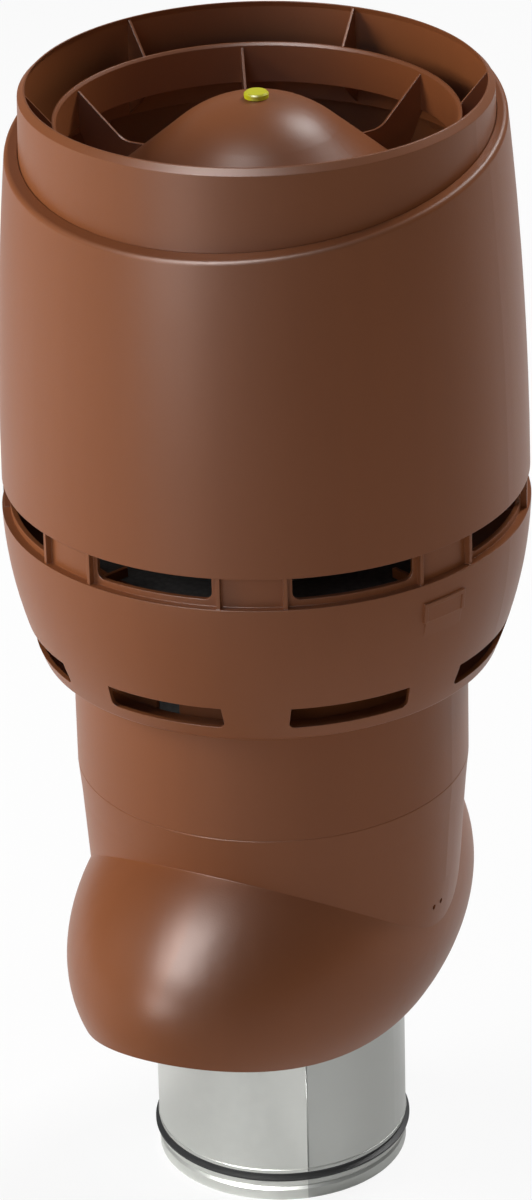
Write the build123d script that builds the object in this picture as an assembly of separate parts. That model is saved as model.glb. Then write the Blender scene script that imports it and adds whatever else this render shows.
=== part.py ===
from build123d import *
from math import asin, cos, degrees, radians, sin, sqrt, tan
import os

# Roof ventilation pipe, millimetres, +Z up along the pipe.
# The origin is at the centre of the steel duct's lower end. The skirt's long axis is Y, with its front at -Y.
# An azimuth is counted from the front, and is positive towards +X.

# Steel duct and its seal
duct_radius = 80.0
duct_wall = 1.0
duct_stand_up = 8.0
end_band = 7.0
end_bead_width = 3.4
end_bead_depth = 1.3
seal_groove_low = 13.6
seal_groove_width = 6.0
seal_groove_depth = 1.6
seal_lip_reach = 2.4
seal_base_thickness = 1.4
spigot_length = 88.0
stop_bead_height = 1.2
stop_bead_width = 5.0

# Pipe body: neck and oval skirt in one moulding
pipe_wall = 3.0
neck_radius = 122.4
neck_crease_step = 1.9
neck_waist_step = 5.1
neck_foot_step = 18.4
neck_groove_width = 1.0
neck_groove_depth = 0.3
skirt_half_width = 114.2
skirt_half_length = 181.0
skirt_half_height = 104.8
skirt_forward = 5.0
skirt_centre_height = 177.0
rim_drop = 53.6
rim_arc_radius = 472.0
neck_foot_below_centre = 23.0
neck_waist_above_centre = 39.0
neck_taper_length = 48.0
neck_crease_length = 21.0
neck_straight_length = 159.0
screw_hole_radius = 1.7
screw_hole_spacing = 9.0
screw_hole_above_centre = 25.5
screw_hole_forward = 9.0
catch_hole_width = 16.0
catch_hole_height = 10.0
catch_hole_below_top = 74.5
catch_hole_azimuth = -4.6

# Foam sleeve
foam_clearance = 0.3
foam_below_top = 4.0
foam_bottom_above_centre = 39.0

# Hood bowl
bowl_wall = 3.2
bowl_floor_width = 17.7
bowl_arc_radius = 270.0
bowl_arc_above_top = 7.6
bowl_height = 96.4
bowl_overlap = 79.0
bowl_floor = 3.2
bowl_foot_round = 2.5
pipe_clearance = 0.8
band_wall = 3.0
band_height = 20.1
band_tuck = 24.0
opening_count = 8
opening_width = 75.0
window_sill = 4.1
window_height = 19.0
window_corner = 5.0
slot_low = 9.8
slot_height = 15.2
slot_corner = 4.0
rib_width = 2.4
rib_gap = 3.9
rib_inset = 0.6
web_thickness = 2.5
web_low = 30.0
web_hook = 6.0
web_hook_reach = 9.0

# Snap tongue on the bowl
tongue_azimuth = 66.3
tongue_width = 32.0
tongue_side_step = 1.6
tongue_top_drop = 12.4
tongue_lip_height = 12.9
tongue_ramp_height = 19.0
tongue_lip_stand = 1.5
tongue_ramp_stand = 0.9
tongue_border = 2.6
tongue_recess = 0.5

# Hood shell
shell_wall = 3.6
shell_step = 0.7
shell_arc_radius = 2400.0
shell_clearance = 0.4
lip_above_low = 220.0
lip_tilt = 9.4
lip_thickness = 3.6
lip_round = 3.0
collar_gap = 0.4
catch_count = 8
catch_width = 20.0
catch_reach = 3.4
catch_height = 9.0

# Outlet collar: collar, ribs, ring and rain cone in one moulding
collar_wall = 3.2
collar_draft = 1.7
collar_rim_width = 1.0
collar_edge = 3.6
flange_width = 5.9
collar_above_lip = 27.5
collar_foot_below_lip = 36.5
flange_thickness = 3.5
outer_rib_count = 6
rib_plate = 1.6
outlet_gap = 16.1
ring_wall = 2.4
ring_height = 25.3
ring_edge = 1.6
ring_edge_width = 1.4
ring_below_rim = 20.4
inner_rib_slope = 43.0
inner_rib_fillet = 14.0
inner_rib_seat = 34.0
cone_below_rim = 9.8
cone_dome_radius = 75.0
cone_flank_angle = 40.5
cone_gap = 13.1
cone_rim_drop = 4.0
cone_wall = 2.8

# Plug in the top of the cone
plug_radius = 7.3
plug_thickness = 3.4
plug_edge = 0.9
plug_stem_radius = 4.5
plug_stem_clearance = 0.15
plug_stem_length = 6.0

# Heights that follow from the sizes above
neck_foot_height = skirt_centre_height - neck_foot_below_centre
neck_waist_height = skirt_centre_height + neck_waist_above_centre
neck_taper_height = neck_waist_height + neck_taper_length
neck_crease_height = neck_taper_height + neck_crease_length
neck_top = neck_crease_height + neck_straight_length
foam_bottom = skirt_centre_height + foam_bottom_above_centre
foam_top = neck_top - foam_below_top
duct_top = neck_top + duct_stand_up
bowl_bottom = neck_top - bowl_overlap
bowl_top = bowl_bottom + bowl_height
shell_low = bowl_top + band_height
lip_height = shell_low + lip_above_low
collar_top = lip_height + collar_above_lip
collar_foot = lip_height - collar_foot_below_lip
ring_top = collar_top - ring_below_rim
cone_top = collar_top - cone_below_rim

# Radii that follow from the sizes above
duct_bore = duct_radius - duct_wall
neck_crease_radius = neck_radius - neck_crease_step
neck_waist_radius = neck_radius - neck_waist_step
neck_foot_radius = neck_radius - neck_foot_step
bowl_neck_bore = neck_radius + pipe_clearance
bowl_foot_radius = bowl_neck_bore + bowl_floor_width
bowl_arc_drop = bowl_height + bowl_arc_above_top
bowl_radius = bowl_foot_radius + bowl_arc_radius - sqrt(bowl_arc_radius**2 - bowl_arc_drop**2)
shell_radius = bowl_radius - shell_step


def arc_radius(height, widest, curve, widest_height):
    """Radius at a height on a wall that is one circular arc, widest at the given height."""
    return widest - curve + sqrt(curve**2 - (height - widest_height)**2)


def bowl_outside(height):
    """Outer radius of the bowl at a height."""
    return arc_radius(height, bowl_radius, bowl_arc_radius, bowl_top + bowl_arc_above_top)


def shell_outside(height):
    """Outer radius of the hood shell at a height."""
    return arc_radius(height, shell_radius, shell_arc_radius, bowl_top)


def shell_inside(height):
    """Inner radius of the hood shell at a height."""
    return shell_outside(height) - shell_wall


def band_outside():
    """Outer radius of the window band, which stands inside the shell's lower edge."""
    return shell_inside(shell_low + band_tuck) - shell_clearance


def collar_outside(height):
    """Outer radius of the outlet collar at a height below its rim's edge."""
    foot = shell_inside(collar_foot) - shell_clearance - flange_width
    return foot - collar_draft * (height - collar_foot) / (collar_top - collar_edge - collar_foot)


def collar_rim():
    """Outer radius of the collar's rim, above its sloping edge."""
    return collar_outside(collar_top - collar_edge) - collar_edge


def ring_outside():
    """Outer radius of the inner ring."""
    return collar_rim() - outlet_gap


def cone_rim():
    """Outer radius of the rain cone's rim."""
    return ring_outside() - cone_gap


def wall_arc(outside, low, high, inset):
    """Arc of a wall in the radius-height plane, set in from its outside by a thickness."""
    middle = (low + high) / 2
    return ThreePointArc(*[(outside(height) - inset, height) for height in (low, middle, high)])


def outline(*points):
    """Straight edges through (radius, height) points."""
    return Polyline(*points).edges()


def turned(*edges):
    """Solid of revolution about the pipe axis from a closed outline of edges."""
    return revolve(Plane.XZ * make_face(edges), Axis.Z)


def disc(radius, low, high):
    """Cylinder on the pipe axis between two heights."""
    return Pos(0, 0, (low + high) / 2) * Cylinder(radius, high - low)


def radial_plate(edges, thickness):
    """Upright plate in the XZ plane, of even thickness, from a closed (radius, height) outline."""
    return extrude(Plane.XZ * make_face(edges), thickness / 2, both=True)


def at_azimuth(shape, azimuth):
    """Turn a shape that was drawn along +X to an azimuth."""
    return Rot(0, 0, azimuth - 90) * shape


def around(shape, count, first=0.0):
    """Copies of a shape that was drawn along +X, evenly spaced about the pipe axis."""
    return [at_azimuth(shape, first + 360 * step / count) for step in range(count)]


def opening(width, low, high, corner, inner, outer):
    """Radial cutter along +X with square top corners and rounded bottom corners."""
    sheet = Rectangle(width, high - low)
    sheet = fillet(sheet.vertices().group_by(Axis.Y)[0], corner)
    return extrude(Plane.YZ.offset(inner) * Pos(0, (low + high) / 2) * sheet, outer - inner)


def make_duct_tube():
    """Sheet-steel duct with a rolled end, a seal groove and a stop bead."""
    bead_low = end_band
    bead_high = end_band + end_bead_width
    groove_high = seal_groove_low + seal_groove_width
    stop_low = groove_high + spigot_length
    stop_high = stop_low + stop_bead_width
    steps = [
        (0, 0),
        (0, bead_low),
        (-end_bead_depth, (bead_low + bead_high) / 2),
        (0, bead_high),
        (0, seal_groove_low),
        (-seal_groove_depth, seal_groove_low),
        (-seal_groove_depth, groove_high),
        (0, groove_high),
        (0, stop_low),
        (stop_bead_height, (stop_low + stop_high) / 2),
        (0, stop_high),
        (0, duct_top),
    ]
    outside = [(duct_radius + step, height) for step, height in steps]
    inside = [(duct_bore + step, height) for step, height in reversed(steps)]
    return turned(*outline(*outside, *inside, outside[0]))


def make_duct_seal():
    """Rubber ring with a base in the duct's groove and a lip that stands out of it."""
    floor = duct_radius - seal_groove_depth
    low = seal_groove_low
    high = seal_groove_low + seal_groove_width
    base = floor + seal_base_thickness
    lip = duct_radius + seal_lip_reach
    middle = (low + high) / 2
    return turned(*outline(
        (floor, low), (base, low), (lip, middle - 1.2), (lip, middle), (base, middle + 1.2), (base, high),
        (floor, high), (floor, low)))


def neck_solid(inset, top, foot):
    """Solid of the neck's outline, set in from its outside, between two heights."""
    return turned(
        *outline((0, foot), (neck_foot_radius - inset, foot)),
        *outline((neck_foot_radius - inset, foot), (neck_foot_radius - inset, neck_foot_height)),
        Spline((neck_foot_radius - inset, neck_foot_height), (neck_waist_radius - inset, neck_waist_height),
               tangents=[(1, 2), (1, 14)]),
        *outline(
            (neck_waist_radius - inset, neck_waist_height), (neck_crease_radius - inset, neck_taper_height),
            (neck_radius - inset, neck_crease_height),
            (neck_radius - inset - neck_groove_depth, neck_crease_height + neck_groove_width / 2),
            (neck_radius - inset, neck_crease_height + neck_groove_width),
            (neck_radius - inset, top), (0, top), (0, foot)))


def skirt_solid(inset):
    """Oval dome of the skirt, set in from its outside."""
    half = Vector(skirt_half_width - inset, skirt_half_length - inset, skirt_half_height - inset)
    dome = scale(Sphere(1), by=(half.X, half.Y, half.Z))
    return Pos(0, -skirt_forward, skirt_centre_height) * dome


def make_pipe_body():
    """Neck and oval skirt of even wall, with an arched rim, screw holes and catch holes."""
    rim_height = skirt_centre_height - rim_drop
    foot = neck_foot_height - 1
    body = neck_solid(0, neck_top, foot) + skirt_solid(0)
    body -= neck_solid(pipe_wall, neck_top + 1, foot - 1)
    body -= skirt_solid(pipe_wall)
    arch = Pos(0, -skirt_forward, rim_height + rim_arc_radius) * Rot(0, 90, 0) * Cylinder(
        rim_arc_radius, 2 * bowl_radius)
    body &= arch
    for side in (-1, 1):
        for step in (-0.5, 0.5):
            y = -side * screw_hole_forward + step * screw_hole_spacing
            hole = Pos(side * neck_radius, y, skirt_centre_height + screw_hole_above_centre)
            body -= hole * Rot(0, 90, 0) * Cylinder(screw_hole_radius, neck_radius / 2)
    catch = Pos(neck_radius, 0, neck_top - catch_hole_below_top) * Box(
        neck_radius / 2, catch_hole_width, catch_hole_height)
    body -= around(catch, 2, catch_hole_azimuth)
    return body


def make_insulation_sleeve():
    """Foam between the duct and the inside of the neck."""
    foam = neck_solid(pipe_wall + foam_clearance, foam_top, neck_foot_height - 1)
    foam &= disc(neck_radius, foam_bottom, foam_top)
    return foam - disc(duct_radius + foam_clearance, foam_bottom - 1, foam_top + 1)


def make_hood_bowl():
    """Bowl with a floor, drain slots, a recessed window band, ribs, inner webs and snap tongues."""
    band_top = shell_low + band_tuck
    band_radius = band_outside()
    floor_top = bowl_bottom + bowl_floor
    band_inside = band_radius - band_wall
    inner_foot = bowl_outside(floor_top) - bowl_wall
    inner_top = bowl_outside(bowl_top - bowl_wall) - bowl_wall
    bowl = turned(
        *outline((bowl_neck_bore, bowl_bottom), (bowl_foot_radius, bowl_bottom)),
        wall_arc(bowl_outside, bowl_bottom, bowl_top, 0),
        *outline(
            (bowl_outside(bowl_top), bowl_top), (band_radius, bowl_top), (band_radius, band_top),
            (band_inside, band_top), (band_inside, bowl_top), (inner_top, bowl_top - bowl_wall)),
        wall_arc(bowl_outside, floor_top, bowl_top - bowl_wall, bowl_wall),
        *outline((inner_foot, floor_top), (bowl_neck_bore, floor_top), (bowl_neck_bore, bowl_bottom)))
    foot_edge = bowl.edges().filter_by(GeomType.CIRCLE).group_by(Axis.Z)[0].sort_by(SortBy.RADIUS)[-1]
    bowl = fillet(foot_edge, bowl_foot_round)
    bowl += band_ribs()
    bowl += around(inner_web(), opening_count, 180 / opening_count)
    bowl += around(tongue(), 2, tongue_azimuth)
    low = bowl_bottom + slot_low
    slot = opening(opening_width, low, low + slot_height, slot_corner, neck_radius + 1, 2 * bowl_radius)
    low = bowl_top + window_sill
    window = opening(opening_width, low, low + window_height, window_corner, neck_radius, 2 * bowl_radius)
    bowl -= around(slot, opening_count)
    bowl -= around(window, opening_count)
    return bowl


def band_ribs():
    """Upright ribs on both sides of each window, from the bowl's ledge to the shell's lower edge."""
    outer = shell_outside(shell_low) - rib_inset
    inner = band_outside() - band_wall / 2
    side = degrees(asin((opening_width / 2 + rib_gap + rib_width / 2) / outer))
    rib = Pos((inner + outer) / 2, 0, bowl_top + band_height / 2) * Box(outer - inner, rib_width, band_height)
    return around(rib, opening_count, -side) + around(rib, opening_count, side)


def inner_web():
    """Plate from the bowl's wall to the pipe, with a hook that sits on the pipe's top edge."""
    low = bowl_bottom + web_low
    high = neck_top + web_hook
    hook = neck_radius - web_hook_reach
    wall = bowl_outside(low) - bowl_wall / 2
    return radial_plate([
        *outline((bowl_neck_bore, low), (wall, low)),
        wall_arc(bowl_outside, low, high, bowl_wall / 2),
        *outline(
            (bowl_outside(high) - bowl_wall / 2, high), (hook, high), (hook, neck_top),
            (bowl_neck_bore, neck_top), (bowl_neck_bore, low)),
    ], web_thickness)


def bowl_strip(low, high, width, inside, outside_low, outside_high):
    """Strip along +X that follows the bowl's curve, between offsets from the bowl's outside."""
    ring = turned(*outline(
        (bowl_outside(low) + inside, low), (bowl_outside(low) + outside_low, low),
        (bowl_outside(high) + outside_high, high), (bowl_outside(high) + inside, high),
        (bowl_outside(low) + inside, low)))
    return ring & Pos(bowl_radius, 0, low) * Box(bowl_radius, width, bowl_height)


def tongue():
    """Snap tongue: a bordered lip over a narrower ramp that runs out into the bowl's wall."""
    top = bowl_top - tongue_top_drop
    lip_low = top - tongue_lip_height
    ramp_low = lip_low - tongue_ramp_height
    root = -bowl_wall / 2
    stand = tongue_lip_stand
    panel_width = tongue_width - 2 * tongue_border
    ramp_width = tongue_width - 2 * tongue_side_step
    lip = bowl_strip(lip_low, top, tongue_width, root, stand, stand)
    lip -= bowl_strip(lip_low, top - tongue_border, panel_width, stand - tongue_recess, 2 * stand, 2 * stand)
    return lip + bowl_strip(ramp_low, lip_low, ramp_width, root, root / 4, tongue_ramp_stand)


def shoulder_plane(drop):
    """Slanted plane of the shell's shoulder, lowered square to itself by a distance."""
    tilt = radians(lip_tilt)
    normal = Vector(0, -sin(tilt), cos(tilt))
    return Plane(origin=Vector(0, 0, lip_height) - normal * drop, z_dir=normal)


def barrel(inset, low, drop):
    """Solid of the shell's barrel, set in from its outside and cut off along the slanted shoulder."""
    high = collar_top + collar_edge
    solid = turned(
        *outline((0, low), (shell_outside(low) - inset, low)),
        wall_arc(shell_outside, low, high, inset),
        *outline((shell_outside(high) - inset, high), (0, high), (0, low)))
    return split(solid, shoulder_plane(drop), keep=Keep.BOTTOM)


def make_hood_shell():
    """Barrel-shaped cowl with a slanted, inturned shoulder and catches for the outlet collar."""
    shell = barrel(0, shell_low, 0)
    shoulder = shell.faces().filter_by(GeomType.PLANE).sort_by(Axis.Z)[-1]
    shell = fillet(shoulder.outer_wire().edges(), lip_round)
    shell -= barrel(shell_wall, shell_low - 1, lip_thickness)
    shell -= turned(*outline(
        (0, collar_foot), (collar_outside(collar_foot) + collar_gap, collar_foot),
        (collar_outside(collar_top) + collar_gap, collar_top), (0, collar_top), (0, collar_foot)))
    catch_low = collar_foot - catch_height
    root = shell_wall / 2
    catch_tip = shell_inside(collar_foot) - catch_reach
    catch = radial_plate(outline(
        (catch_tip, collar_foot), (shell_inside(collar_foot) + root, collar_foot),
        (shell_inside(catch_low) + root, catch_low), (shell_inside(catch_low) - shell_clearance, catch_low),
        (catch_tip, collar_foot)), catch_width)
    return shell + around(catch, catch_count, 180 / catch_count)


def make_outlet_collar():
    """Collar with a foot flange, outer ribs, inner ring, inner ribs and the rain cone."""
    flange = shell_inside(collar_foot) - shell_clearance
    flange_top = collar_foot + flange_thickness
    collar_inside = collar_outside(collar_foot) - collar_wall
    edge_low = collar_top - collar_edge
    edge_radius = collar_outside(edge_low)
    collar = turned(*outline(
        (collar_inside, collar_foot), (flange, collar_foot), (flange, flange_top),
        (collar_outside(flange_top), flange_top), (edge_radius, edge_low), (collar_rim(), collar_top),
        (collar_rim() - collar_rim_width, collar_top), (edge_radius - collar_wall, edge_low),
        (collar_inside, collar_foot)))
    collar += turned(*ring_outline())
    collar += cone_shell()
    collar += around(outer_rib(), outer_rib_count)
    collar += around(inner_rib(), outer_rib_count, 180 / outer_rib_count)
    return collar


def ring_outline():
    """Section of the inner ring, with its inner top edge cut back."""
    inside = ring_outside() - ring_wall
    low = ring_top - ring_height
    return outline(
        (inside, low), (ring_outside(), low), (ring_outside(), ring_top), (inside + ring_edge_width, ring_top),
        (inside, ring_top - ring_edge), (inside, low))


def outer_rib():
    """Plate from the collar to the inner ring, its top edge sloping down to the ring."""
    root = ring_outside() - ring_wall / 2
    rim = collar_rim() - collar_rim_width / 2
    foot = collar_outside(collar_foot) - collar_wall / 2
    return radial_plate(outline(
        (root, ring_top - ring_height), (foot, collar_foot), (rim, collar_top - collar_rim_width),
        (root, ring_top - collar_rim_width), (root, ring_top - ring_height)), rib_plate)


def cone_points(inset):
    """Where the cone's dome meets its flank, and the cone's rim, set in from its outside."""
    angle = radians(cone_flank_angle)
    dome = cone_dome_radius - inset
    centre = cone_top - cone_dome_radius
    bend = Vector(dome * sin(angle), centre + dome * cos(angle))
    rim = Vector(cone_rim(), bend.Y - (cone_rim() - bend.X) * tan(angle))
    crown = Vector(dome * sin(angle / 2), centre + dome * cos(angle / 2))
    return Vector(0, centre + dome), crown, bend, rim


def cone_height(radius):
    """Height of the cone's outside at a radius on its flank."""
    bend = cone_points(0)[2]
    return bend.Y - (radius - bend.X) * tan(radians(cone_flank_angle))


def cone_shell():
    """Rain cone of even wall: a dome on a straight flank, with a short drip edge and the plug's hole."""
    top, crown, bend, rim = cone_points(0)
    inner_top, inner_crown, inner_bend, inner_rim = cone_points(cone_wall)
    drip = rim.Y - cone_rim_drop
    inner_edge = cone_rim() - cone_wall
    flank = tan(radians(cone_flank_angle))
    inner_edge_height = inner_bend.Y - (inner_edge - inner_bend.X) * flank
    cone = turned(
        ThreePointArc((top.X, top.Y), (crown.X, crown.Y), (bend.X, bend.Y)),
        *outline((bend.X, bend.Y), (rim.X, rim.Y), (cone_rim(), drip), (inner_edge, drip),
                 (inner_edge, inner_edge_height), (inner_bend.X, inner_bend.Y)),
        ThreePointArc((inner_bend.X, inner_bend.Y), (inner_crown.X, inner_crown.Y), (inner_top.X, inner_top.Y)),
        *outline((inner_top.X, inner_top.Y), (top.X, top.Y)))
    return cone - disc(plug_stem_radius + plug_stem_clearance, inner_top.Y - cone_wall, top.Y + cone_wall)


def inner_rib():
    """Plate from the inner ring down to the cone, its top edge sloping and then running out to the cone."""
    root = ring_outside() - ring_wall / 2
    top = ring_top - ring_edge
    seat = cone_rim() - inner_rib_seat
    seat_height = cone_height(seat) - cone_wall / 2
    reach = (top - seat_height) / tan(radians(inner_rib_slope))
    low = ring_top - ring_height
    edge = FilletPolyline((root, top), (root - reach, seat_height), (seat, seat_height), radius=inner_rib_fillet)
    foot = cone_rim() - cone_wall
    return radial_plate([
        *edge.edges(),
        *outline((seat, seat_height), (foot, cone_height(foot) - cone_wall / 2), (root, low), (root, top)),
    ], rib_plate)


def make_cone_plug():
    """Plug with a flat head on the cone and a stem through its hole."""
    low = cone_top
    head = disc(plug_radius, low, low + plug_thickness)
    head = chamfer(head.edges().group_by(Axis.Z)[-1], plug_edge)
    return head + disc(plug_stem_radius, low - plug_stem_length, low + plug_edge)


parts = {
    "duct_tube": make_duct_tube(),
    "duct_seal": make_duct_seal(),
    "pipe_body": make_pipe_body(),
    "insulation_sleeve": make_insulation_sleeve(),
    "hood_bowl": make_hood_bowl(),
    "hood_shell": make_hood_shell(),
    "outlet_collar": make_outlet_collar(),
    "cone_plug": make_cone_plug(),
}

os.makedirs("parts", exist_ok=True)
for name, part in parts.items():
    export_step(part, f"parts/{name}.step")
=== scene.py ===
"""Roof ventilation pipe: finishes, fine detail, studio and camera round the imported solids."""

import logging
import math
from dataclasses import dataclass, field
from enum import Enum
from typing import Any, Mapping, Optional, Sequence, Union

import bmesh
import bpy
from mathutils import Matrix, Vector


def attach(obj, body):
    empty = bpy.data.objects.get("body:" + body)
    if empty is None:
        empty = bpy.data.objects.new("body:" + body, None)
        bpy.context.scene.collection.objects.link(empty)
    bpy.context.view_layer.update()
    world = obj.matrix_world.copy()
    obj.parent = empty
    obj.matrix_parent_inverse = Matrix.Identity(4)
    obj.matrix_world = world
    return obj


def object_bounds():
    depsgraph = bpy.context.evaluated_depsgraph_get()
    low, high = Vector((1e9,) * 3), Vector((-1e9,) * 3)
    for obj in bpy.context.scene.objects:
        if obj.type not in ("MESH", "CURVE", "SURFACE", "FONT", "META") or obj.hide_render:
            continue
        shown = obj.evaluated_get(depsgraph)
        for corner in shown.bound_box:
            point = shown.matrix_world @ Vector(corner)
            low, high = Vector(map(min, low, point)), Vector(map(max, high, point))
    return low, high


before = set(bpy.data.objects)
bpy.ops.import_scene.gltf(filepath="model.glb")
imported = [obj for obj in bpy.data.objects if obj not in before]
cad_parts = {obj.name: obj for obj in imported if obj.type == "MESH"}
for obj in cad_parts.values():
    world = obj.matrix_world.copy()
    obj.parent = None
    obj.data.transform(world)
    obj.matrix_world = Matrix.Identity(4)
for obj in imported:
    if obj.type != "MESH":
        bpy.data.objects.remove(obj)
CAD_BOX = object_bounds()

log = logging.getLogger("roof_pipe")

MM = 0.001

Colour = tuple[float, float, float]
Number = Union[int, float]


class Slot(Enum):
    """The record's material slots."""

    BROWN = "brown_plastic"
    FOAM = "foam"
    STEEL = "galvanised_steel"
    RUBBER = "seal_rubber"
    PLUG = "plug_plastic"


def linear(red: int, green: int, blue: int) -> Colour:
    """Scene-linear colour of a display colour.

    Args:
        red: Display red from 0 to 255.
        green: Display green from 0 to 255.
        blue: Display blue from 0 to 255.

    Returns:
        The three linear channels.
    """
    channels = []
    for level in (red, green, blue):
        share = level / 255
        channels.append(share / 12.92 if share <= 0.04045 else ((share + 0.055) / 1.055) ** 2.4)
    return channels[0], channels[1], channels[2]


class Value:
    """A number that varies over a surface, with Python's operators as Math nodes."""

    def __init__(self, graph: "Graph", socket: bpy.types.NodeSocket) -> None:
        """Keep the socket that gives the value and the graph it is in."""
        self.graph = graph
        self.socket = socket

    def _math(self, operation: str, first: Any, second: Any) -> "Value":
        """Value of one Math node on two operands."""
        node = self.graph.node("ShaderNodeMath", {"operation": operation}, {0: first, 1: second})
        return Value(self.graph, node.outputs[0])

    def __add__(self, other: Union["Value", Number]) -> "Value":
        """Sum."""
        return self._math("ADD", self, other)

    def __radd__(self, other: Number) -> "Value":
        """Sum with a plain number on the left."""
        return self._math("ADD", other, self)

    def __sub__(self, other: Union["Value", Number]) -> "Value":
        """Difference."""
        return self._math("SUBTRACT", self, other)

    def __rsub__(self, other: Number) -> "Value":
        """Difference with a plain number on the left."""
        return self._math("SUBTRACT", other, self)

    def __mul__(self, other: Union["Value", Number]) -> "Value":
        """Product."""
        return self._math("MULTIPLY", self, other)

    def __rmul__(self, other: Number) -> "Value":
        """Product with a plain number on the left."""
        return self._math("MULTIPLY", other, self)

    def __neg__(self) -> "Value":
        """The value with its sign turned."""
        return self._math("MULTIPLY", self, -1.0)

    def maximum(self, other: Union["Value", Number]) -> "Value":
        """The larger of two values."""
        return self._math("MAXIMUM", self, other)

    def fraction(self) -> "Value":
        """What is left of the value past its whole number."""
        return self._math("FRACT", self, 0.0)

    def turn_from(self, other: "Value") -> "Value":
        """Angle, in whole turns, of the direction with this value across and the other along."""
        return self._math("ARCTAN2", self, other) * (0.5 / math.pi)


class Graph:
    """Node tree of one material or of the world."""

    def __init__(self, tree: bpy.types.NodeTree) -> None:
        """Start from an empty tree."""
        self.tree = tree
        tree.nodes.clear()

    def node(
        self,
        kind: str,
        settings: Optional[Mapping[str, Any]] = None,
        sockets: Optional[Mapping[Union[str, int], Any]] = None,
    ) -> bpy.types.Node:
        """Add a node, set it up and fill its sockets.

        Args:
            kind: The node's type.
            settings: Properties of the node.
            sockets: Values or links for its inputs, by name or number.

        Returns:
            The new node.
        """
        made = self.tree.nodes.new(kind)
        for name, value in (settings or {}).items():
            setattr(made, name, value)
        for name, value in (sockets or {}).items():
            if isinstance(value, Value):
                self.tree.links.new(value.socket, made.inputs[name])
            elif isinstance(value, bpy.types.NodeSocket):
                self.tree.links.new(value, made.inputs[name])
            else:
                made.inputs[name].default_value = value
        return made

    def place(self, scale: Sequence[float] = (1.0, 1.0, 1.0)) -> bpy.types.NodeSocket:
        """Object coordinates, stretched by a scale."""
        where = self.node("ShaderNodeTexCoord").outputs["Object"]
        return self.node("ShaderNodeMapping", None, {"Vector": where, "Scale": scale}).outputs[0]

    def azimuth(self) -> Value:
        """Azimuth about the pipe's axis in turns, counted from the front towards +X."""
        where = self.node("ShaderNodeTexCoord").outputs["Object"]
        parts = self.node("ShaderNodeSeparateXYZ", None, {0: where})
        across, along = Value(self, parts.outputs[0]), Value(self, parts.outputs[1])
        return across.turn_from(-along)

    def noise(self, scale: float, detail: float, where: bpy.types.NodeSocket, rough: float = 0.5) -> Value:
        """Noise from 0 to 1 on given coordinates.

        Args:
            scale: Cells for each metre.
            detail: Octaves of finer noise.
            where: The coordinates.
            rough: Weight of the finer octaves.

        Returns:
            The noise value.
        """
        made = self.node(
            "ShaderNodeTexNoise",
            None,
            {"Vector": where, "Scale": scale, "Detail": detail, "Roughness": rough},
        )
        return Value(self, made.outputs[0])

    def blend(self, factor: Any, first: Any, second: Any) -> bpy.types.NodeSocket:
        """Colour between two colours, or colour sockets, by a factor."""
        ends = [(*end, 1.0) if isinstance(end, tuple) else end for end in (first, second)]
        made = self.node("ShaderNodeMix", {"data_type": "RGBA"}, {0: factor, 6: ends[0], 7: ends[1]})
        return made.outputs[2]

    def bump(self, height: Value, depth: float, strength: float, normal: Any = None) -> bpy.types.NodeSocket:
        """Bumped normal from a height.

        Args:
            height: The height from 0 to 1.
            depth: Depth in metres.
            strength: Share of the effect.
            normal: A normal to start from, if any.

        Returns:
            The normal socket.
        """
        sockets = {"Height": height, "Distance": depth, "Strength": strength}
        if normal is not None:
            sockets["Normal"] = normal
        return self.node("ShaderNodeBump", None, sockets).outputs[0]

    def soft_edges(self, radius: float) -> bpy.types.NodeSocket:
        """Normal that rounds sharp edges by a radius in metres."""
        return self.node("ShaderNodeBevel", {"samples": 6}, {"Radius": radius}).outputs[0]

    def surface(self, sockets: Mapping[str, Any]) -> None:
        """Close the tree with a Principled shader."""
        shader = self.node("ShaderNodeBsdfPrincipled", None, sockets)
        self.node("ShaderNodeOutputMaterial", None, {"Surface": shader.outputs[0]})


def new_material(name: str) -> tuple[bpy.types.Material, Graph]:
    """An empty node material and its graph."""
    material = bpy.data.materials.new(name)
    material.use_nodes = True
    return material, Graph(material.node_tree)


@dataclass(frozen=True)
class BrownPlastic:
    """Matt brown moulding with a fine spark-eroded grain."""

    light: Colour = linear(131, 76, 42)
    dark: Colour = linear(121, 69, 38)
    roughness: float = 0.38
    specular: float = 0.22
    grain_cells: float = 900.0
    grain_depth: float = 0.00012
    edge_round: float = 0.0007

    def material(self) -> bpy.types.Material:
        """Build the material."""
        material, graph = new_material("brown_plastic")
        where = graph.place()
        cloud = graph.noise(5.0, 3.0, where)
        grain = graph.noise(self.grain_cells, 2.0, where)
        streak = graph.noise(60.0, 2.0, graph.place((1.0, 1.0, 0.03)))
        edge = graph.soft_edges(self.edge_round)
        graph.surface(
            {
                "Base Color": graph.blend(0.6 * cloud + 0.4 * streak, self.dark, self.light),
                "Roughness": self.roughness - 0.05 + 0.06 * cloud + 0.04 * grain,
                "Specular IOR Level": self.specular,
                "Normal": graph.bump(grain, self.grain_depth, 0.35, edge),
            }
        )
        return material


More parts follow.
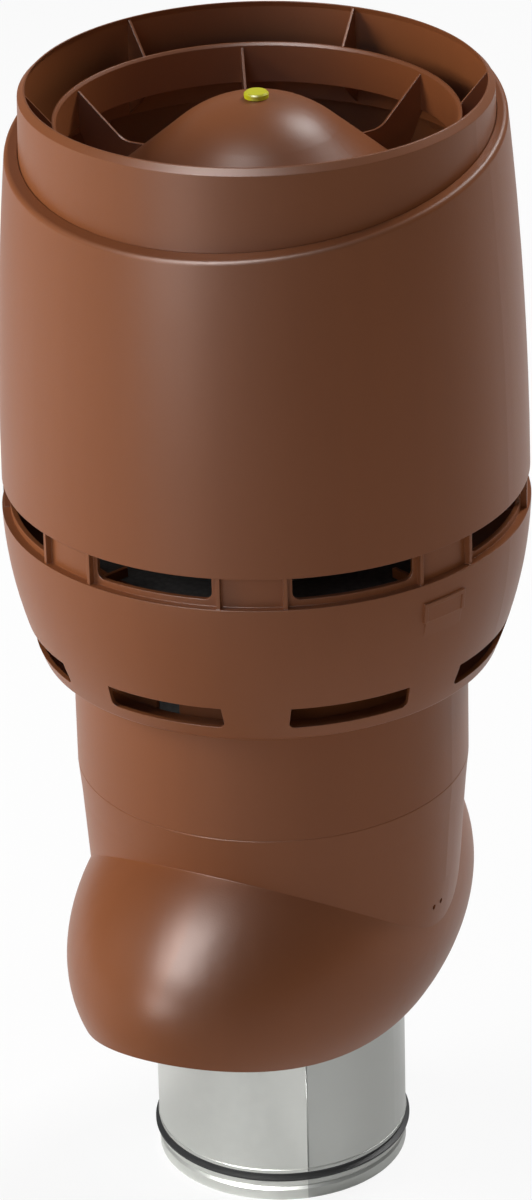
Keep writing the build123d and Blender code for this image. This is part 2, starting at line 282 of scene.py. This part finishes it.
@dataclass(frozen=True)
class GalvanisedSteel:
    """Dull galvanised sheet with a faint spangle, and painted shade on the side of the tube past the lap seam.
    """

    light: Colour = (0.70, 0.71, 0.675)
    dark: Colour = (0.63, 0.64, 0.61)
    # Darker colour painted past the lap seam: painted shade for the tube's shaded side.
    painted_shade_past_seam: Colour = (0.42, 0.428, 0.41)
    roughness: float = 0.36
    seam_azimuth: float = 37.0

    def material(self) -> bpy.types.Material:
        """Build the material."""
        material, graph = new_material("galvanised_steel")
        where = graph.place()
        cloud = graph.noise(14.0, 4.0, where)
        spangle = graph.noise(160.0, 1.0, where)
        past = (graph.azimuth() + (1.0 - self.seam_azimuth / 360)).fraction()
        # Painted shade mask: strongest just past the seam, fading back to the sheet's tone round the tube.
        past_seam_shade = (1.0 - 2.2 * past).maximum(0.0)
        sheet = graph.blend(0.6 * cloud + 0.4 * spangle, self.dark, self.light)
        graph.surface(
            {
                "Base Color": graph.blend(past_seam_shade, sheet, self.painted_shade_past_seam),
                "Metallic": 0.85,
                "Roughness": self.roughness - 0.04 + 0.08 * spangle,
                "Normal": graph.bump(cloud, 0.0004, 0.12),
            }
        )
        return material


@dataclass(frozen=True)
class SealRubber:
    """Black rubber of the lip ring."""

    light: Colour = (0.026, 0.027, 0.028)
    dark: Colour = (0.012, 0.012, 0.013)

    def material(self) -> bpy.types.Material:
        """Build the material."""
        material, graph = new_material("seal_rubber")
        speck = graph.noise(700.0, 2.0, graph.place())
        graph.surface(
            {
                "Base Color": graph.blend(speck, self.dark, self.light),
                "Roughness": 0.42 + 0.15 * speck,
            }
        )
        return material


@dataclass(frozen=True)
class GraphiteFoam:
    """Dark bead foam of the insulation."""

    light: Colour = (0.052, 0.049, 0.047)
    dark: Colour = (0.027, 0.026, 0.025)

    def material(self) -> bpy.types.Material:
        """Build the material."""
        material, graph = new_material("foam")
        where = graph.place()
        cells = graph.node("ShaderNodeTexVoronoi", None, {"Vector": where, "Scale": 260.0})
        bead = Value(graph, cells.outputs["Distance"])
        graph.surface(
            {
                "Base Color": graph.blend(bead, self.light, self.dark),
                "Roughness": 0.85 + 0.1 * bead,
                "Normal": graph.bump(1 - bead, 0.0006, 0.4),
            }
        )
        return material


@dataclass(frozen=True)
class PlugPlastic:
    """Glossy yellow-green plug."""

    light: Colour = linear(203, 200, 22)
    dark: Colour = linear(186, 184, 16)

    def material(self) -> bpy.types.Material:
        """Build the material."""
        material, graph = new_material("plug_plastic")
        cloud = graph.noise(300.0, 2.0, graph.place())
        graph.surface(
            {
                "Base Color": graph.blend(cloud, self.dark, self.light),
                "Roughness": 0.3 + 0.1 * cloud,
            }
        )
        return material


Finish = Union[BrownPlastic, GalvanisedSteel, SealRubber, GraphiteFoam, PlugPlastic]


class Paint:
    """The object's materials, each made once."""

    def __init__(self) -> None:
        """Make every slot's material."""
        finishes: dict[Slot, Finish] = {
            Slot.BROWN: BrownPlastic(),
            Slot.FOAM: GraphiteFoam(),
            Slot.STEEL: GalvanisedSteel(),
            Slot.RUBBER: SealRubber(),
            Slot.PLUG: PlugPlastic(),
        }
        self.made = {slot: finish.material() for slot, finish in finishes.items()}

    def dress(self, piece: bpy.types.Object, slot: Slot) -> None:
        """Give a piece the material of its slot."""
        piece.data.materials.clear()
        piece.data.materials.append(self.made[slot])
        log.info("%s wears %s", piece.name, slot.value)

    def node(self, name: str, slot: Slot) -> None:
        """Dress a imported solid."""
        self.dress(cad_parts[name], slot)


def add_piece(mesh: bmesh.types.BMesh, name: str, slot: Slot, paint: Paint) -> bpy.types.Object:
    """Turn a bmesh into a dressed piece of the object.

    Args:
        mesh: The shape, in the row frame, freed here.
        name: The piece's name.
        slot: Its material slot.
        paint: The materials.

    Returns:
        The new object.
    """
    data = bpy.data.meshes.new(name)
    mesh.to_mesh(data)
    mesh.free()
    piece = bpy.data.objects.new(name, data)
    bpy.context.scene.collection.objects.link(piece)
    for face in data.polygons:
        face.use_smooth = True
    paint.dress(piece, slot)
    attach(piece, "root")
    return piece


def about_axis(angle: float) -> Matrix:
    """Turn about the pipe's axis that takes +X to an azimuth in degrees, counted from the front."""
    return Matrix.Rotation(math.radians(angle - 90), 4, "Z")


@dataclass
class Duct:
    """Steel duct with its lap seam, and the lip seal."""

    radius: float = 80.0 * MM
    seam_azimuth: float = 37.0
    seam_width: float = 0.9 * MM
    seam_height: float = 0.15 * MM
    seam_low: float = 20.2 * MM
    seam_high: float = 107.0 * MM
    seam_steps: int = 2
    bead_height: float = 22.0 * MM
    bead_radius: float = 0.45 * MM
    bead_points: int = 10
    round_steps: int = 160

    def dress(self, paint: Paint) -> None:
        """Dress the solids, then add the lap seam and the raised line."""
        paint.node("duct_tube", Slot.STEEL)
        paint.node("duct_seal", Slot.RUBBER)
        self.build_seam(paint)
        self.build_bead(paint)

    def build_bead(self, paint: Paint) -> None:
        """Fine raised line round the tube above the seal."""
        mesh = bmesh.new()
        bmesh.ops.create_circle(mesh, segments=self.bead_points, radius=self.bead_radius)
        upright = Matrix.Translation((self.radius, 0, self.bead_height)) @ Matrix.Rotation(math.pi / 2, 4, "X")
        bmesh.ops.transform(mesh, matrix=upright, verts=mesh.verts)
        bmesh.ops.spin(
            mesh,
            geom=[*mesh.verts, *mesh.edges],
            axis=(0, 0, 1),
            cent=(0, 0, 0),
            angle=2 * math.pi,
            steps=self.round_steps,
            use_merge=True,
        )
        bmesh.ops.recalc_face_normals(mesh, faces=mesh.faces)
        add_piece(mesh, "duct_bead", Slot.STEEL, paint)

    def build_seam(self, paint: Paint) -> None:
        """Lap of the sheet: a thin strip that follows the tube and stands a little proud of it."""
        mesh = bmesh.new()
        outside = self.radius + self.seam_height
        line = [mesh.verts.new((outside, 0, height)) for height in (self.seam_low, self.seam_high)]
        edge = mesh.edges.new(line)
        turn = self.seam_width / self.radius
        bmesh.ops.spin(
            mesh, geom=[*line, edge], axis=(0, 0, 1), cent=(0, 0, 0), angle=turn, steps=self.seam_steps
        )
        bmesh.ops.recalc_face_normals(mesh, faces=mesh.faces)
        bmesh.ops.transform(mesh, matrix=about_axis(self.seam_azimuth), verts=mesh.verts)
        bmesh.ops.solidify(mesh, geom=mesh.faces[:], thickness=self.seam_height)
        add_piece(mesh, "duct_seam", Slot.STEEL, paint)


@dataclass
class Pipe:
    """Outer pipe with its skirt, and the foam inside it."""

    def dress(self, paint: Paint) -> None:
        """Dress the solids."""
        paint.node("pipe_body", Slot.BROWN)
        paint.node("insulation_sleeve", Slot.FOAM)


@dataclass
class Hood:
    """Bowl, shell, outlet collar and plug."""

    def dress(self, paint: Paint) -> None:
        """Dress the solids."""
        paint.node("hood_bowl", Slot.BROWN)
        paint.node("hood_shell", Slot.BROWN)
        paint.node("outlet_collar", Slot.BROWN)
        paint.node("cone_plug", Slot.PLUG)


@dataclass(frozen=True)
class Lamp:
    """An area lamp that looks at the object's middle, seen in gloss, on matt faces or in both."""

    name: str
    azimuth: float
    elevation: float
    distance: float
    width: float
    height: float
    power: float
    in_gloss: bool = True
    in_matt: bool = True

    def build(self, target: Vector) -> None:
        """Add the lamp to the scene."""
        data = bpy.data.lights.new(self.name, "AREA")
        data.shape = "RECTANGLE"
        data.size = self.width
        data.size_y = self.height
        data.energy = self.power
        lamp = bpy.data.objects.new(self.name, data)
        turn, lift = math.radians(self.azimuth), math.radians(self.elevation)
        away = Vector((math.sin(turn) * math.cos(lift), -math.cos(turn) * math.cos(lift), math.sin(lift)))
        lamp.location = target + away * self.distance
        lamp.rotation_euler = away.to_track_quat("Z", "Y").to_euler()
        lamp.visible_glossy = self.in_gloss
        lamp.visible_diffuse = self.in_matt
        bpy.context.scene.collection.objects.link(lamp)


@dataclass(frozen=True)
class Camera:
    """Camera fitted to the photograph's view."""

    azimuth: float = 26.2
    distance: float = 2.817
    height: float = 1.801
    yaw: float = -0.043
    pitch: float = 26.641
    roll: float = -1.51
    focal_pixels: float = 5103.0
    frame_pixels: float = 1200.0
    sensor: float = 36.0

    def build(self) -> None:
        """Add the camera and make it the scene's."""
        data = bpy.data.cameras.new("camera")
        data.sensor_fit = "VERTICAL"
        data.sensor_height = self.sensor
        data.lens = self.focal_pixels / self.frame_pixels * self.sensor
        data.clip_end = 100.0
        camera = bpy.data.objects.new("camera", data)
        bpy.context.scene.collection.objects.link(camera)
        aim = (
            Matrix.Rotation(math.radians(self.azimuth - self.yaw), 4, "Z")
            @ Matrix.Rotation(math.radians(90 - self.pitch), 4, "X")
            @ Matrix.Rotation(math.radians(self.roll), 4, "Z")
        )
        turn = math.radians(self.azimuth)
        place = Vector((math.sin(turn) * self.distance, -math.cos(turn) * self.distance, self.height))
        camera.matrix_world = Matrix.Translation(place) @ aim
        bpy.context.scene.camera = camera


@dataclass
class Studio:
    """Pale floor, soft lamps, even surroundings and the camera."""

    floor_half: float = 30.0
    floor_white: float = 0.78
    floor_glow: float = 0.88
    surround: float = 0.15
    mirrored: float = 0.08
    lamps: list[Lamp] = field(
        default_factory=lambda: [
            Lamp("key", -64.0, 20.0, 3.0, 1.8, 1.8, 98.0, in_gloss=False),
            Lamp("strip", -4.0, 48.0, 3.0, 1.5, 2.4, 360.0, in_matt=False),
            Lamp("band", -11.0, 5.0, 3.0, 1.0, 0.9, 62.0, in_matt=False),
            Lamp("rim", 162.0, 50.0, 3.0, 0.9, 0.9, 62.0),
            Lamp("edge", 136.0, 8.0, 3.0, 1.2, 1.6, 13.0, in_gloss=False),
            Lamp("fill", 10.0, 4.0, 3.0, 2.0, 1.6, 14.0, in_gloss=False),
        ]
    )

    def build(self) -> None:
        """Add everything round the object."""
        bpy.context.scene.view_settings.view_transform = "Standard"
        self.build_floor()
        self.build_world()
        low, high = CAD_BOX
        middle = (Vector(low) + Vector(high)) / 2
        for lamp in self.lamps:
            lamp.build(middle)
        Camera().build()

    def seen_white(self, graph: Graph) -> Value:
        """One where a camera, mirror or glass ray meets the background, and zero elsewhere."""
        path = graph.node("ShaderNodeLightPath")
        camera, glossy, clear = (
            Value(graph, path.outputs[name])
            for name in ("Is Camera Ray", "Is Glossy Ray", "Is Transmission Ray")
        )
        return camera.maximum(self.mirrored * glossy).maximum(clear)

    def build_floor(self) -> None:
        """White floor that keeps a trace of the object's shadow and is clear from below."""
        mesh = bmesh.new()
        bmesh.ops.create_grid(mesh, x_segments=1, y_segments=1, size=self.floor_half)
        data = bpy.data.meshes.new("floor")
        mesh.to_mesh(data)
        mesh.free()
        floor = bpy.data.objects.new("floor", data)
        bpy.context.scene.collection.objects.link(floor)
        material, graph = new_material("floor")
        white = (self.floor_white, self.floor_white, self.floor_white, 1.0)
        matt = graph.node("ShaderNodeBsdfDiffuse", None, {"Color": white})
        glow = graph.node("ShaderNodeEmission", None, {"Color": (1.0, 1.0, 1.0, 1.0), "Strength": 1.0})
        share = self.floor_glow * self.seen_white(graph)
        both = graph.node("ShaderNodeMixShader", None, {0: share, 1: matt.outputs[0], 2: glow.outputs[0]})
        below = graph.node("ShaderNodeNewGeometry").outputs["Backfacing"]
        clear = graph.node("ShaderNodeBsdfTransparent")
        sheet = graph.node("ShaderNodeMixShader", None, {0: below, 1: both.outputs[0], 2: clear.outputs[0]})
        graph.node("ShaderNodeOutputMaterial", None, {"Surface": sheet.outputs[0]})
        data.materials.append(material)

    def build_world(self) -> None:
        """Even surroundings that look white to the camera."""
        world = bpy.data.worlds.new("studio")
        bpy.context.scene.world = world
        world.use_nodes = True
        graph = Graph(world.node_tree)
        level = self.surround + (1.0 - self.surround) * self.seen_white(graph)
        back = graph.node("ShaderNodeBackground", None, {"Color": (1.0, 1.0, 1.0, 1.0), "Strength": level})
        graph.node("ShaderNodeOutputWorld", None, {"Surface": back.outputs[0]})


def main() -> None:
    """Build the object's pieces in order, then the studio."""
    logging.basicConfig(level=logging.INFO)
    paint = Paint()
    for assembly in (Duct(), Pipe(), Hood()):
        assembly.dress(paint)
        log.info("%s done", type(assembly).__name__)
    Studio().build()


if __name__ == "__main__":
    main()
